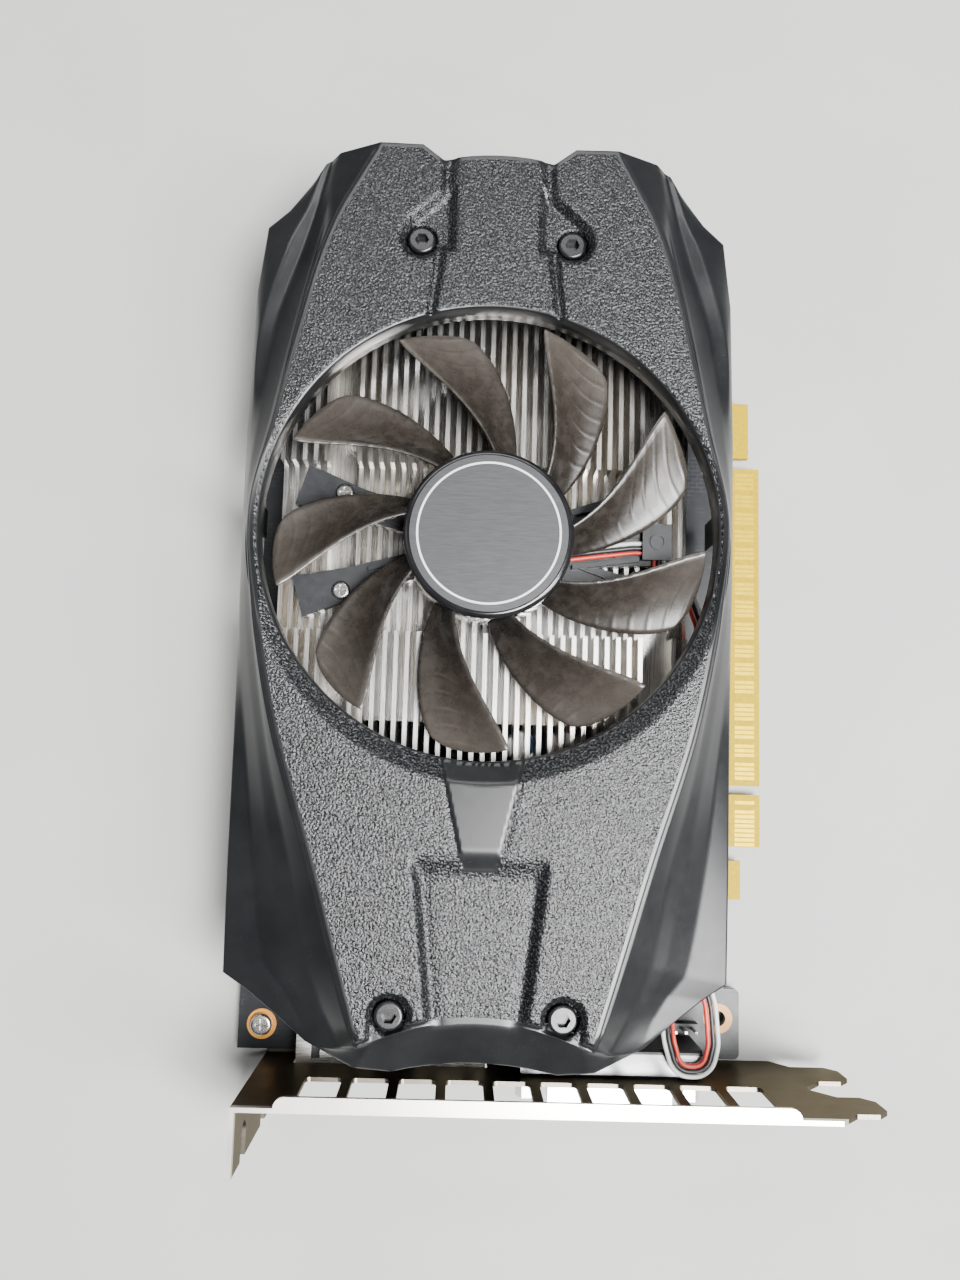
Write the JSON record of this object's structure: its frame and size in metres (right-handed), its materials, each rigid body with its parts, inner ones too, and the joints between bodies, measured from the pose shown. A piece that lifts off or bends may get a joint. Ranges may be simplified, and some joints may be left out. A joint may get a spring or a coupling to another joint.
{
  "type": "graphics card",
  "caption": "Dual-slot computer graphics card: circuit board with edge connector, finned heat sink, moulded shroud, axial fan and vented slot bracket.",
  "frame": {"origin": "middle of the card's bounding box in plan, on the surface that it rests on with the fan facing up", "axes": "+Z from the solder side towards the fan side; +Y along the card away from the slot bracket; +X towards the edge connector"},
  "size_m": [0.126, 0.1982, 0.0387],
  "materials": {
    "board": "satin solder mask",
    "gold": "plated",
    "substrate": "satin",
    "silicon": "polished",
    "paste": "matte",
    "chip": "moulded",
    "pad": "soft",
    "ferrite": "pressed powder",
    "can": "drawn",
    "socket_plastic": "moulded",
    "port_plastic": "moulded",
    "tin": "tinned",
    "ceramic": "fired",
    "bracket": "plated sheet",
    "screw": "plated",
    "fins": "mill",
    "fan_frame": "moulded",
    "brass": "turned",
    "lamination": "stamped",
    "copper": "enamelled wire",
    "shroud": "textured",
    "black_screw": "black oxide",
    "wire_red": "insulation",
    "wire_black": "insulation",
    "wire_white": "insulation",
    "header_plastic": "moulded",
    "fan": "satin",
    "label": "printed film"
  },
  "bodies": {
    "card": {"circuit_board": "board", "edge_contacts_front": "gold", "edge_contacts_back": "gold", "screw_hole_rings": "gold", "processor_substrate": "substrate", "processor_die": "silicon", "thermal_paste": "paste", "memory_chips": "chip", "thermal_pads": "pad", "power_inductors": "ferrite", "capacitor_cans": "can", "capacitor_bases": "socket_plastic", "power_transistors": "chip", "controller_chip": "chip", "memory_rom_chip": "chip", "clock_crystal": "tin", "small_board_parts": "ceramic", "dvi_shell": "tin", "dvi_insert": "port_plastic", "dvi_body": "socket_plastic", "dvi_jack_screws": "tin", "solder_pins": "tin", "hdmi_shell": "tin", "hdmi_tongue": "socket_plastic", "displayport_shell": "tin", "displayport_tongue": "socket_plastic", "io_bracket": "bracket", "bracket_screw": "screw", "heat_sink": "fins", "heat_sink_screws": "screw", "heat_sink_washers": "socket_plastic", "fan_frame": "fan_frame", "fan_frame_screws": "screw", "bearing_sleeve": "brass", "stator_core": "lamination", "stator_coils": "copper", "motor_board": "board", "shroud": "shroud", "shroud_screws": "black_screw", "shroud_standoffs": "brass", "lead_wire_red": "wire_red", "lead_wire_black": "wire_black", "lead_wire_white": "wire_white", "lead_plug": "header_plastic", "lead_header": "header_plastic", "spare_header": "socket_plastic", "header_pins": "tin"},
    "rotor": {"fan_rotor": "fan", "rotor_yoke": "lamination", "magnet_ring": "ferrite", "rotor_shaft": "tin", "hub_label": "label"}
  },
  "joints": [
    {"name": "fan_spin", "type": "hinge", "parent": "card", "child": "rotor", "pos_m": [-0.01371, 0.01985, 0.0232], "axis": [0, 0, 1], "continuous": true}
  ]
}
